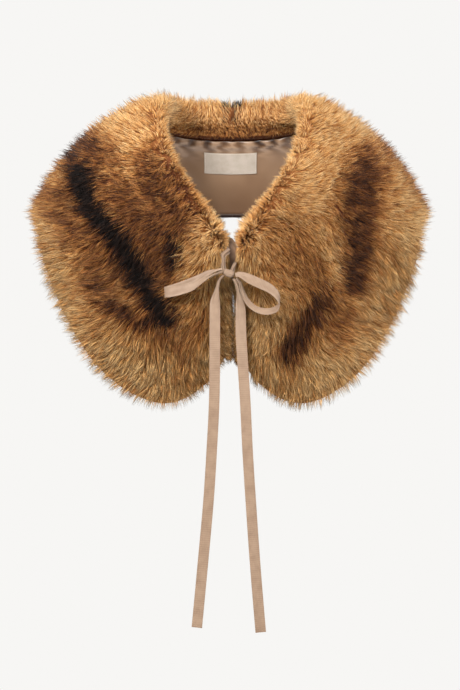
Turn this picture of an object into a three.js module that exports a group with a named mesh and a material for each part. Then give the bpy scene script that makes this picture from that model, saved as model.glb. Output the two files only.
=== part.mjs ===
// A fur collar wrap, shown filled out as it is worn, with no wearer: one crescent-shaped band of
// long-pile fur that lies round the neck and over both shoulders, tied at the chest with a ribbon bow.
//
// Millimetres, +Z up. The wearer faces -Y, so the wearer's right is at -X and the left at +X.
// The origin is on the neck's axis, level with the seam that joins the lining to the fur at the nape.
import * as THREE from "three";

// Driving sizes
const PILE = 26; // how far the fur stands off its backing cloth
const SEAM_GAP = 0.3; // between pieces that are sewn together
const FACING = { at_nape: 39, at_front: 9 }; // depth of the strip of fur that is turned in at the neck
const FACING_NARROWS = { from: 0.25, to: 0.9 }; // the stretch along the band where it does so
const ROLL = { at_front: 0.25, from: 0.6, to: 0.88 }; // where the neck's inward roll flattens, and to what
const FACES_FORWARD = { from: 0.8, to: 0.95 }; // where the cloth turns to face plainly forward
const LINING_THICK = 1.2;
const GATHER = { depth: 3, crest: 0.85, trough: 0.12, fades_from: 0.5, fades_to: 0.8 };
const GATHER_VARIES = { crest: 0.2, trough: 0.1 };
const LABEL = { left: -38, right: 33, below_seam: 17, high: 28.5, thick: 0.8, gap: 0.45 };
const LABEL_FACES = [0, -1, 0.2]; // into the hollow and a little up, as the lining does there
const TONGUE = [
  { to: 12.4, rise: -8.5, behind: 1.4 },
  { to: 11, rise: -6, behind: 7 },
  { to: 7, rise: 20, behind: 9.5 },
  { to: 1, rise: 33, behind: 10 },
  { to: -9, rise: 37, behind: 10 },
];
const TONGUE_STEP = 0.6; // how far each of those moves where the tongue ends
const RIBBON = { wide: 12.7, thick: 1.0 };

// The backing cloth of one half of the band, one row for each section across it, from the centre
// back over the shoulder to the front edge. Each point is [out from the centre, back, up]. The last
// two columns are how far the hair reaches past the cloth at the neck and at the hem.
const BAND = [
  {
    where: "centre back",
    neck: [0, 82, 30], middle: [0, 117, -30], hem: [0, 136, -97], above: 24, below: 10,
  },
  {
    where: "back",
    neck: [48, 73, 30], middle: [66, 110, -29], hem: [82, 130, -98], above: 24, below: 12,
  },
  {
    where: "shoulder blade",
    neck: [80, 46, 30], middle: [131, 80, -25], hem: [164, 96, -101], above: 23, below: 16,
  },
  {
    where: "shoulder",
    neck: [94, 8, 27], middle: [171, 21, -24], hem: [227, 30, -104], above: 22, below: 19,
  },
  {
    where: "collarbone",
    neck: [95, -34, 0], middle: [171, -42, -50], hem: [225, -32, -130], above: 17, below: 19,
  },
  {
    where: "upper chest",
    neck: [82, -62, -44], middle: [153, -86, -106], hem: [211, -74, -180], above: 14, below: 19,
  },
  {
    where: "chest",
    neck: [62, -82, -78], middle: [124, -106, -165], hem: [181, -97, -250], above: 13, below: 19,
  },
  {
    where: "lower chest",
    neck: [41, -95, -111], middle: [90, -118, -214], hem: [140, -109, -309], above: 12, below: 19,
  },
  {
    where: "lobe",
    neck: [23, -103, -137], middle: [53, -121, -243], hem: [86, -114, -338], above: 10, below: 19,
  },
  {
    where: "round corner",
    neck: [13, -106, -158], middle: [27, -119, -243], hem: [40, -114, -319], above: 8, below: 19,
  },
  {
    where: "front edge",
    neck: [12, -107, -180], middle: [13, -115, -231], hem: [15, -112, -286], above: 7, below: 19,
  },
];
const WIDER_RIGHT = 1.03; // the right shoulder sits a little wider than the left
const FRONT_GAP = 1.2; // from the centre plane to the fur of each front edge
const PARTED = { gap: 5, height: -166, reach: 17 }; // the fronts part just above the tie
const TIE_DENT = { share: 0.34, height: -192, wide: 30, high: 24 }; // the bow presses the pile down

// The outline of a section through the fur, from the facing's seam up over the neck edge, down the
// outside, round the hem and back up the inside. across is 0 at the neck edge and 1 at the hem, with
// seam_share a share of the facing and seam_mm a distance below its seam. past is a share of the
// hair's reach beyond the edge, and out a share of the pile. tufts is 1 where the clumps stand out.
const OUTLINE = [
  { seam_share: 1, past: 0, out: 0, tufts: 0 },
  { seam_share: 0.75, past: 0, out: -0.26, tufts: 0 },
  { seam_share: 0.35, past: 0, out: -0.4, tufts: 0 },
  { across: 0, past: 0.35, out: -0.36, tufts: 0 },
  { across: 0, past: 0.85, out: -0.08, tufts: 1 },
  { across: 0, past: 1, out: 0.3, tufts: 1 },
  { across: 0, past: 0.72, out: 0.74, tufts: 1 },
  { across: 0.02, past: 0, out: 0.97, tufts: 1 },
  { across: 0.11, past: 0, out: 1, tufts: 1 },
  { across: 0.2, past: 0, out: 1, tufts: 1 },
  { across: 0.3, past: 0, out: 1, tufts: 1 },
  { across: 0.4, past: 0, out: 1, tufts: 1 },
  { across: 0.5, past: 0, out: 1, tufts: 1 },
  { across: 0.6, past: 0, out: 1, tufts: 1 },
  { across: 0.7, past: 0, out: 1, tufts: 1 },
  { across: 0.8, past: 0, out: 1, tufts: 1 },
  { across: 0.9, past: 0, out: 1, tufts: 1 },
  { across: 1, past: 0.1, out: 0.93, tufts: 1 },
  { across: 1, past: 0.62, out: 0.7, tufts: 1 },
  { across: 1, past: 1, out: 0.32, tufts: 1 },
  { across: 1, past: 0.6, out: 0.06, tufts: 0 },
  { across: 1, past: 0, out: 0, tufts: 0, gather: 0 },
  { across: 0.82, past: 0, out: 0, tufts: 0, gather: 0 },
  { across: 0.64, past: 0, out: 0, tufts: 0, gather: 0 },
  { across: 0.48, past: 0, out: 0, tufts: 0, gather: 0 },
  { seam_mm: 16, past: 0, out: 0, tufts: 0, gather: 0 },
  { seam_mm: 9, past: 0, out: 0, tufts: 0, gather: 0.55 },
  { seam_mm: 4, past: 0, out: 0, tufts: 0, gather: 1 },
  { seam_mm: 1, past: 0, out: 0, tufts: 0, gather: 0.35 },
];

// The bow's ribbon, as the rows of each strip's route. at is the middle of the ribbon, and wide runs
// across it from one selvedge to the other, as a share of its full width: it is drawn in at the knot.
const TIE_RIGHT = [
  { at: [-5.2, -120, -163], wide: [0.02, -0.12, -0.5] },
  { at: [-5.6, -132.5, -166], wide: [0.14, -0.2, -0.5] },
  { at: [-11.2, -138.5, -171.5], wide: [0.42, -0.16, -0.34] },
  { at: [-10.9, -141, -178], wide: [0.34, -0.2, -0.25] },
  { at: [-11.2, -144, -184.5], wide: [0.42, -0.12, -0.1] },
  { at: [-9.5, -147, -191], wide: [0.5, 0, -0.2] },
];
const TIE_LEFT = [
  { at: [4.1, -119, -179], wide: [0.02, -0.2, -0.45] },
  { at: [1.8, -130, -183.5], wide: [0.04, -0.24, -0.4] },
  { at: [0, -139.5, -188], wide: [0.2, -0.24, -0.34] },
  { at: [-1.7, -147, -193.5], wide: [0.5, 0, -0.24] },
];
const LOOP_RIGHT = [
  { at: [-12.4, -154, -191.6], wide: [0.04, -0.63, 0.08] },
  { at: [-20, -155, -194], wide: [0, -0.79, -0.08] },
  { at: [-28, -156.5, -197.6], wide: [-0.08, -0.87, -0.31] },
  { at: [-36, -158, -202.6], wide: [-0.28, -0.63, -0.71] },
  { at: [-45, -158.5, -208.3], wide: [-0.28, -0.28, -0.91] },
  { at: [-58, -158, -212.4], wide: [-0.16, -0.16, -0.97] },
  { at: [-70, -156.5, -215], wide: [-0.04, -0.08, -0.99] },
  { at: [-78.3, -155, -216], wide: [0.04, -0.04, -1] },
  { at: [-81.3, -152.5, -216], wide: [0.06, 0, -1] },
  { at: [-78.3, -150, -215], wide: [0.04, 0, -1] },
  { at: [-68, -149.5, -211.5], wide: [-0.08, 0.04, -0.99] },
  { at: [-55, -150, -206.5], wide: [-0.16, 0, -0.98] },
  { at: [-42, -150.5, -200.5], wide: [-0.2, -0.31, -0.91] },
  { at: [-30, -151.5, -193.6], wide: [-0.12, -0.63, -0.55] },
  { at: [-20, -152.5, -190.2], wide: [0, -0.75, -0.08] },
  { at: [-12.4, -153, -188.9], wide: [0, -0.63, 0.08] },
];
const LOOP_LEFT = [
  { at: [3.3, -156, -195.7], wide: [0, -0.55, -0.24] },
  { at: [8.4, -157, -195.2], wide: [-0.08, -0.63, -0.47] },
  { at: [18.9, -158, -199.7], wide: [-0.24, -0.47, -0.83] },
  { at: [31.1, -158.5, -205.3], wide: [-0.31, -0.39, -0.87] },
  { at: [44, -158.5, -211.6], wide: [-0.31, -0.47, -0.79] },
  { at: [52.5, -158, -219], wide: [-0.24, -0.63, -0.72] },
  { at: [56, -157.5, -227.5], wide: [-0.08, -0.71, -0.69] },
  { at: [54, -157.5, -234.5], wide: [0, -0.75, -0.65] },
  { at: [47.2, -157.5, -238.3], wide: [0, -0.76, -0.63] },
  { at: [39.2, -157, -239.3], wide: [0, -0.76, -0.63] },
  { at: [29, -156, -236.9], wide: [-0.12, -0.76, -0.61] },
  { at: [20, -155, -230.3], wide: [-0.24, -0.76, -0.57] },
  { at: [14, -153.5, -221.3], wide: [-0.31, -0.75, -0.51] },
  { at: [10.8, -152, -211.5], wide: [-0.31, -0.71, -0.39] },
  { at: [8.5, -151, -203.3], wide: [-0.24, -0.63, -0.31] },
  { at: [4.2, -150.3, -199.2], wide: [-0.16, -0.51, -0.24] },
];
const TAIL_RIGHT = [
  { at: [-11.5, -151, -195.8], wide: [0.04, -0.55, 0] },
  { at: [-15.6, -151.5, -200.4], wide: [0.08, -0.63, 0] },
  { at: [-18.5, -152, -209], wide: [0.31, -0.67, 0] },
  { at: [-19.7, -152.5, -217], wide: [0.59, -0.63, 0] },
  { at: [-21, -153, -227], wide: [0.89, -0.35, 0] },
  { at: [-21.2, -153.5, -238], wide: [0.99, -0.12, 0] },
  { at: [-21.3, -153.5, -266], wide: [1, 0, 0] },
  { at: [-22, -153.5, -345], wide: [1, 0.05, 0] },
  { at: [-25, -153, -405], wide: [0.99, 0.13, -0.06] },
  { at: [-28.8, -152, -464], wide: [0.99, 0.08, -0.08] },
  { at: [-35.6, -151.5, -540], wide: [0.99, -0.06, -0.09] },
  { at: [-42.8, -151, -616.5], wide: [0.99, -0.11, -0.09] },
];
const TAIL_LEFT = [
  { at: [1.1, -152, -199.8], wide: [0, -0.51, -0.08] },
  { at: [4, -152, -206.5], wide: [0.12, -0.63, 0] },
  { at: [6.6, -151, -217], wide: [0.35, -0.71, 0] },
  { at: [8.4, -151.5, -226], wide: [0.68, -0.63, 0] },
  { at: [9.4, -152, -236], wide: [0.92, -0.31, 0] },
  { at: [9.9, -153, -266], wide: [1, -0.04, 0] },
  { at: [14.9, -153.5, -345], wide: [1, -0.05, 0.03] },
  { at: [17.8, -153.5, -405], wide: [0.99, -0.11, 0.06] },
  { at: [21.5, -153, -464], wide: [0.99, -0.05, 0.08] },
  { at: [27, -152.5, -543], wide: [0.99, 0.08, 0.08] },
  { at: [33.5, -152, -622], wide: [0.99, 0.13, 0.08] },
];
const KNOT = { at: [-4.9, -152, -193.6], long: 14, high: 8.6, deep: 9, tilt: 23, sides: 12 };
const KNOT_STATIONS = [
  { along: -0.5, full: 0.78 },
  { along: -0.3, full: 0.96 },
  { along: 0, full: 1 },
  { along: 0.3, full: 0.96 },
  { along: 0.5, full: 0.78 },
];

// Smooth rails along the band, through each row's neck, middle and hem points. The row before the
// first is its mirror image, so that the two halves meet square at the centre back.
function rail(edge) {
  const points = BAND.map((row) => new THREE.Vector3(...row[edge]));
  const mirrored = points[1].clone().multiply(new THREE.Vector3(-1, 1, 1));
  const last = points.length - 1;
  const beyond = points[last].clone().multiplyScalar(2).sub(points[last - 1]);
  const curve = new THREE.CatmullRomCurve3([mirrored, ...points, beyond], false, "catmullrom", 0.5);
  return (along) => curve.getPoint((1 + along * last) / (last + 2));
}
const neckRail = rail("neck");
const middleRail = rail("middle");
const hemRail = rail("hem");

// A column of BAND's plain numbers, read between its rows.
function column(name, along) {
  const place = THREE.MathUtils.clamp(along, 0, 1) * (BAND.length - 1);
  const row = Math.min(Math.floor(place), BAND.length - 2);
  return THREE.MathUtils.lerp(BAND[row][name], BAND[row + 1][name], place - row);
}

// A point of the backing cloth. along is 0 at the centre back and 1 at the front edge.
function cloth(along, across) {
  const point = neckRail(along).multiplyScalar((1 - across) * (1 - 2 * across));
  point.addScaledVector(middleRail(along), 4 * across * (1 - across));
  return point.addScaledVector(hemRail(along), across * (2 * across - 1));
}

// The cloth's directions at a point: along the band, across it and out from the wearer. At the front
// corner the neck edge runs on almost in line with the front edge, so the cloth faces plainly forward.
function directions(along, across) {
  const step = 1e-3;
  const run = cloth(along + step, across).sub(cloth(along - step, across)).normalize();
  const fall = cloth(along, across + step).sub(cloth(along, across - step)).normalize();
  const out = run.clone().cross(fall).normalize();
  const forward = THREE.MathUtils.smoothstep(along, FACES_FORWARD.from, FACES_FORWARD.to);
  out.lerp(new THREE.Vector3(0, -1, 0), forward).normalize();
  return { out, away: out.clone().cross(run).normalize() };
}

// The facing is deepest at the nape and narrows towards the front. It is given as a share across.
function seamAt(along) {
  const width = cloth(along, 0).distanceTo(cloth(along, 1));
  const left = 1 - THREE.MathUtils.smoothstep(along, FACING_NARROWS.from, FACING_NARROWS.to);
  const depth = FACING.at_nape * left;
  return Math.max(depth, FACING.at_front) / width;
}

// A stop's place across the band, from whichever way the tables give it.
function acrossOf(stop, along) {
  if (stop.across !== undefined) return stop.across;
  if (stop.seam_share !== undefined) return stop.seam_share * seamAt(along);
  return seamAt(along) + stop.seam_mm / cloth(along, 0).distanceTo(cloth(along, 1));
}

// A point off the cloth: out along its normal, or past its edge at right angles to that edge.
function offCloth(along, across, past, out) {
  const { out: normal, away } = directions(along, across);
  const reach = across < 0.5 ? -column("above", along) : column("below", along);
  return cloth(along, across).addScaledVector(normal, out).addScaledVector(away, past * reach);
}

// A repeatable value from -1 to 1 for a pair of whole numbers.
function scatter(a, b) {
  const value = Math.sin(a * 127.1 + b * 311.7) * 43758.5453;
  return 2 * (value - Math.floor(value)) - 1;
}

// A closed body through rings of points, with a strip across its first and last ring. The strip
// starts at the point capFrom. A mirrored ring's quads are cut along their other diagonal, so that
// both sides of a piece match the pieces that they lie on.
function loft(rings, { turned = false, capFrom = 0, mirrored = 0 } = {}) {
  const count = rings[0].length;
  const faces = [];
  for (let ring = 0; ring + 1 < rings.length; ring += 1) {
    for (let i = 0; i < count; i += 1) {
      const [a, b] = [ring * count + i, ring * count + ((i + 1) % count)];
      const [c, d] = [b + count, a + count];
      if (ring < mirrored) faces.push([a, d, b], [d, c, b]);
      else faces.push([a, d, c], [a, c, b]);
    }
  }
  for (const end of [0, rings.length - 1]) {
    const at = (i) => end * count + ((capFrom + i) % count);
    for (let low = 0, high = count - 1; high - low > 1; low += 1, high -= 1) {
      const strip = [[low, low + 1, high]];
      if (high - low > 2) strip.push([low + 1, high - 1, high]);
      for (const [a, b, c] of strip) faces.push(end ? [at(c), at(b), at(a)] : [at(a), at(b), at(c)]);
    }
  }
  const geometry = new THREE.BufferGeometry();
  const positions = rings.flat().flatMap((point) => point.toArray());
  geometry.setAttribute("position", new THREE.Float32BufferAttribute(positions, 3));
  geometry.setIndex(faces.flatMap(([a, b, c]) => (turned ? [a, c, b] : [a, b, c])));
  geometry.computeVertexNormals();
  return geometry;
}

function piece(name, geometry, material) {
  const mesh = new THREE.Mesh(geometry, material);
  mesh.name = name;
  return mesh;
}

const fur = new THREE.MeshStandardMaterial({ color: 0xb98752, roughness: 0.9 });
const satin = new THREE.MeshStandardMaterial({ color: 0x9a7e68, roughness: 0.45 });
const labelCloth = new THREE.MeshStandardMaterial({ color: 0xd3c2ae, roughness: 0.8 });
const ribbonCloth = new THREE.MeshStandardMaterial({ color: 0xd0ae92, roughness: 0.6 });

// One half of the fur: tufted on its outside, with the facing turned in at the neck.
const FUR_RINGS = 54;
const CLOSING_TURNS = [28, 52, 72]; // degrees round the front edge's rounded end
const TUFT = { high: 3.2, long: 4, stands: 0.75, scatter: 0.6, sinks: 0.3 };

// The fronts part a little above the tie and close again where the neck edges meet.
function frontGap(height) {
  const parted = Math.exp(-(((height - PARTED.height) / PARTED.reach) ** 4));
  return FRONT_GAP + (PARTED.gap - FRONT_GAP) * parted;
}

// What is left of the pile's height under the bow.
function pileLeft(point) {
  const near = (point.x / TIE_DENT.wide) ** 2 + ((point.z - TIE_DENT.height) / TIE_DENT.high) ** 2;
  return 1 - TIE_DENT.share * Math.exp(-near);
}

// Clumps stand out on every other point, each to its own height.
function tuftAt(stop, i, ring) {
  if (!stop.tufts || ring === 0) return 0;
  return ((i + ring) % 2 ? TUFT.stands : -TUFT.stands) + TUFT.scatter * scatter(i, ring) - TUFT.sinks;
}

function furRing(along, ring, closing) {
  const kept = Math.cos(closing);
  const flattened = THREE.MathUtils.smoothstep(along, ROLL.from, ROLL.to);
  const rolled = THREE.MathUtils.lerp(1, ROLL.at_front, flattened);
  return OUTLINE.map((stop, i) => {
    const across = acrossOf(stop, along);
    const tuft = tuftAt(stop, i, ring);
    const left = pileLeft(cloth(along, across)) * kept;
    const past = stop.past && (stop.past + (TUFT.long * Math.min(tuft, 0)) / column("below", along));
    const out = PILE * stop.out * (stop.out < 0 ? rolled : 1) + (stop.past ? 0 : TUFT.high * tuft);
    const point = offCloth(along, across, past * kept, out * left);
    const edge = frontGap(point.z);
    if (closing) point.x -= (point.x - edge) * Math.sin(closing);
    point.x = Math.max(point.x, SEAM_GAP / 2, along > 0.5 ? edge : 0);
    return point;
  });
}

// The wearer's left is at +X. The right side is its mirror image, widened a little at the shoulder.
function onSide(point, sign) {
  const widened = 1 + (WIDER_RIGHT - 1) * THREE.MathUtils.smoothstep(point.x, 60, 200);
  point.x *= sign > 0 ? 1 : -widened;
  return point;
}

function furHalf(sign) {
  const rings = [];
  for (let ring = 0; ring <= FUR_RINGS; ring += 1) rings.push(furRing(ring / FUR_RINGS, ring, 0));
  CLOSING_TURNS.forEach((turn, k) => {
    rings.push(furRing(1, FUR_RINGS + 1 + k, THREE.MathUtils.degToRad(turn)));
  });
  const placed = rings.map((ring) => ring.map((point) => onSide(point, sign)));
  return loft(placed, { turned: sign < 0, capFrom: OUTLINE.findIndex((stop) => stop.past === 1) });
}

// The lining lies on the inside of both halves as one piece, so it is made on the same rings and
// stops. It is eased into the neck seam, which puckers it at every other ring.
const LINING_RINGS = FUR_RINGS - 2; // it stops short of the front edge
const LINED = OUTLINE.filter((stop) => stop.gather !== undefined);

function gatherAt(ring) {
  const along = Math.abs(ring) / FUR_RINGS;
  const left = 1 - THREE.MathUtils.smoothstep(along, GATHER.fades_from, GATHER.fades_to);
  const trough = GATHER.trough + GATHER_VARIES.trough * scatter(ring, 3);
  const crest = GATHER.crest + GATHER_VARIES.crest * scatter(ring, 5);
  return GATHER.depth * (ring % 2 ? trough : crest) * left;
}

function liningPoints(ring, inward) {
  const along = Math.abs(ring) / FUR_RINGS;
  return LINED.map((stop) => {
    const pucker = stop.gather * gatherAt(ring);
    const point = offCloth(along, acrossOf(stop, along), 0, -SEAM_GAP - inward - pucker);
    if (ring === 0) point.x = 0;
    return onSide(point, Math.sign(ring) || 1);
  });
}

// The left front's lining runs on behind the parting above the tie, as a tongue. Its lower part
// stays back behind the front edge.
function tonguePoints({ to, rise, behind }, step, inward) {
  const last = liningPoints(LINING_RINGS, inward);
  return last.map((point, k) => {
    const share = THREE.MathUtils.smoothstep(k, 1, last.length - 3);
    const x = THREE.MathUtils.lerp(point.x - TONGUE_STEP * step, to, share);
    return new THREE.Vector3(x, point.y + behind, point.z + rise * share ** 2);
  });
}

function lining() {
  const rings = [];
  const ringOf = (points) => [...points(0), ...points(LINING_THICK).reverse()];
  for (let ring = -LINING_RINGS; ring <= LINING_RINGS; ring += 1) {
    rings.push(ringOf((inward) => liningPoints(ring, inward)));
  }
  TONGUE.forEach((row, k) => rings.push(ringOf((inward) => tonguePoints(row, k + 1, inward))));
  return loft(rings, { turned: true, mirrored: LINING_RINGS });
}

// A place on the lining's inner face near the centre back, from its distance to the side and below
// the neck seam. The lining's last point lies seam_mm below that seam.
const NEAR_CENTRE = 10; // rings to either side
function onLining(x, below) {
  const rings = [];
  for (let ring = -NEAR_CENTRE; ring <= NEAR_CENTRE; ring += 1) {
    const points = liningPoints(ring, LINING_THICK).reverse();
    let left = below - LINED.at(-1).seam_mm;
    let k = 0;
    while (left > points[k].distanceTo(points[k + 1])) {
      left -= points[k].distanceTo(points[k + 1]);
      k += 1;
    }
    rings.push(points[k].clone().lerp(points[k + 1], left / points[k].distanceTo(points[k + 1])));
  }
  const next = rings.findIndex((point) => point.x > x);
  const share = (x - rings[next - 1].x) / (rings[next].x - rings[next - 1].x);
  return rings[next - 1].clone().lerp(rings[next], share);
}

// The woven label lies on the lining, on the lining's own points moved in.
function label() {
  const rows = 4;
  const columns = 8;
  const inward = new THREE.Vector3(...LABEL_FACES).normalize();
  const rings = [];
  for (let c = 0; c <= columns; c += 1) {
    const x = THREE.MathUtils.lerp(LABEL.left, LABEL.right, c / columns);
    const points = [];
    for (let r = 0; r <= rows; r += 1) points.push(onLining(x, LABEL.below_seam + (LABEL.high * r) / rows));
    const moved = (distance) => points.map((point) => point.clone().addScaledVector(inward, distance));
    rings.push([...moved(LABEL.gap), ...moved(LABEL.gap + LABEL.thick).reverse()]);
  }
  return loft(rings);
}

// A flat ribbon along its route.
function ribbon(route, segments) {
  const middle = new THREE.CatmullRomCurve3(route.map((row) => new THREE.Vector3(...row.at)));
  const width = new THREE.CatmullRomCurve3(route.map((row) => new THREE.Vector3(...row.wide)));
  const rings = [];
  for (let k = 0; k <= segments; k += 1) {
    const t = k / segments;
    const at = middle.getPoint(t);
    const half = width.getPoint(t).multiplyScalar(RIBBON.wide / 2);
    const face = middle.getTangent(t).cross(half).setLength(RIBBON.thick / 2);
    const corner = (a, b) => at.clone().addScaledVector(half, a).addScaledVector(face, b);
    rings.push([corner(-1, -1), corner(1, -1), corner(1, 1), corner(-1, 1)]);
  }
  return loft(rings, { turned: true });
}

// The ribbon wrapped round the others at the knot: a short barrel, fuller in its middle.
function knot() {
  const rings = KNOT_STATIONS.map(({ along, full }) => {
    const ring = [];
    for (let i = 0; i < KNOT.sides; i += 1) {
      const turn = (2 * Math.PI * i) / KNOT.sides;
      const up = (KNOT.high / 2) * full * Math.cos(turn);
      ring.push(new THREE.Vector3(KNOT.long * along, (KNOT.deep / 2) * full * Math.sin(turn), up));
    }
    return ring;
  });
  const geometry = loft(rings);
  geometry.rotateY(THREE.MathUtils.degToRad(KNOT.tilt));
  return geometry.translate(...KNOT.at);
}

const wrap = new THREE.Group();
wrap.add(piece("fur_left", furHalf(1), fur));
wrap.add(piece("fur_right", furHalf(-1), fur));
wrap.add(piece("lining", lining(), satin));
wrap.add(piece("label", label(), labelCloth));
wrap.add(piece("knot", knot(), ribbonCloth));
wrap.add(piece("tie_right", ribbon(TIE_RIGHT, 12), ribbonCloth));
wrap.add(piece("tie_left", ribbon(TIE_LEFT, 8), ribbonCloth));
wrap.add(piece("loop_right", ribbon(LOOP_RIGHT, 40), ribbonCloth));
wrap.add(piece("loop_left", ribbon(LOOP_LEFT, 40), ribbonCloth));
wrap.add(piece("tail_right", ribbon(TAIL_RIGHT, 26), ribbonCloth));
wrap.add(piece("tail_left", ribbon(TAIL_LEFT, 26), ribbonCloth));

export default wrap;
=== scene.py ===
import math

import bmesh
import bpy
import numpy as np
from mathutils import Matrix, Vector
from mathutils.kdtree import KDTree


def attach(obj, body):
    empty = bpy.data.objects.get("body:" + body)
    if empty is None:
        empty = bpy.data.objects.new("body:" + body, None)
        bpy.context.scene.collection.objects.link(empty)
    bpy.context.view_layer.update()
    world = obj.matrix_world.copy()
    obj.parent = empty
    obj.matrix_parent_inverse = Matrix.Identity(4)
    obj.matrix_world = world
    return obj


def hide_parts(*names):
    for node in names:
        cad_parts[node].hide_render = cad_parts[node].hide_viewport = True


# A fur collar wrap in its worn shape, with nobody in it: two halves of long-pile fur with a satin
# lining, tied at the chest with a ribbon bow.
# The row frame is in metres with +Z up and the wearer facing -Y, so the wearer's left is at +X.
# The tables and the working below are in millimetres, and MM turns them to metres in each mesh.
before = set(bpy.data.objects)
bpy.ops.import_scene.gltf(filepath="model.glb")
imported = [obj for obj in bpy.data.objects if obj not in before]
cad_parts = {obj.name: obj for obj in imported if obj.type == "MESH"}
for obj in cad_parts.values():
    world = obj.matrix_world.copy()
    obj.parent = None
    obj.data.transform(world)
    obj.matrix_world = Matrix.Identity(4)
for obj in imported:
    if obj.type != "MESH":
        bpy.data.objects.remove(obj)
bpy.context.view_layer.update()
MM = 0.001
SIDES = (("left", 1), ("right", -1))

# The camera looks level along +Y, as it does in the photograph.
CAMERA = {"x": -3.2, "y": -2096.5, "z": -279.0, "lens": 85.0, "sensor": 36.0}
PHOTO = {"wide": 460, "high": 690}  # the photograph's frame in pixels, for readings taken from it
PIXELS_FOCAL = CAMERA["lens"] / CAMERA["sensor"] * PHOTO["high"]

# The backing cloth of one half of the band, a row for each section from the centre back over the
# shoulder to the front edge: its neck, middle and hem points, and the hair's reach past both edges.
BAND = (
    {"where": "centre back", "neck": (0, 82, 30), "middle": (0, 117, -30),
     "hem": (0, 136, -97), "above": 24, "below": 10},
    {"where": "back", "neck": (48, 73, 30), "middle": (66, 110, -29),
     "hem": (82, 130, -98), "above": 24, "below": 12},
    {"where": "shoulder blade", "neck": (80, 46, 30), "middle": (131, 80, -25),
     "hem": (164, 96, -101), "above": 23, "below": 16},
    {"where": "shoulder", "neck": (94, 8, 27), "middle": (171, 21, -24),
     "hem": (227, 30, -104), "above": 22, "below": 19},
    {"where": "collarbone", "neck": (95, -34, 0), "middle": (171, -42, -50),
     "hem": (225, -32, -130), "above": 17, "below": 19},
    {"where": "upper chest", "neck": (82, -62, -44), "middle": (153, -86, -106),
     "hem": (211, -74, -180), "above": 14, "below": 19},
    {"where": "chest", "neck": (62, -82, -78), "middle": (124, -106, -165),
     "hem": (181, -97, -250), "above": 13, "below": 19},
    {"where": "lower chest", "neck": (41, -95, -111), "middle": (90, -118, -214),
     "hem": (140, -109, -309), "above": 12, "below": 19},
    {"where": "lobe", "neck": (23, -103, -137), "middle": (53, -121, -243),
     "hem": (86, -114, -338), "above": 10, "below": 19},
    {"where": "round corner", "neck": (13, -106, -158), "middle": (27, -119, -243),
     "hem": (40, -114, -319), "above": 8, "below": 19},
    {"where": "front edge", "neck": (12, -107, -180), "middle": (13, -115, -231),
     "hem": (15, -112, -286), "above": 7, "below": 19},
)
PILE = 26.0  # how far the fur stands off its backing cloth
FACING = {"at_nape": 39.0, "at_front": 9.0, "from": 0.25, "to": 0.9}
ROLL = {"at_nape": 0.4, "at_front": 0.1, "from": 0.6, "to": 0.88}  # the facing's pile, as a share
FACES_FORWARD = (0.8, 0.95)  # where the cloth turns to face plainly forward
FOLD = 13.0  # half the stretch over which the pile turns round the neck edge
SEAM_GAP = 0.3
WIDER_RIGHT = {"by": 0.03, "from": 60.0, "to": 200.0}
FRONT_GAP = 1.2
PARTED = {"gap": 5.0, "height": -166.0, "reach": 17.0}
TIE_DENT = {"share": 0.34, "height": -192.0, "wide": 30.0, "high": 24.0}

# The lining, its gathers and its tongue behind the parted fronts.
RINGS = 54  # the gathers are spaced by the band's sections
LINING_END = 52 / 54
LINING_THICK = 0.9
GATHER = {"depth": 4.2, "fades_from": 0.5, "fades_to": 0.8}
TONGUE = (  # reached to the side, raised, set back
    (12.4, -8.5, 1.4),
    (11.0, -6.0, 7.0),
    (7.0, 20.0, 9.5),
    (1.0, 33.0, 10.0),
    (-9.0, 37.0, 10.0),
)
TONGUE_STEP = 0.6
LABEL = {"left": -38.0, "right": 33.0, "below_seam": 17.0, "high": 28.5, "thick": 0.7, "gap": 0.5}
LABEL_FACES = (0.0, -1.0, 0.2)

RIBBON = {"wide": 12.7, "thick": 0.55}
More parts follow.
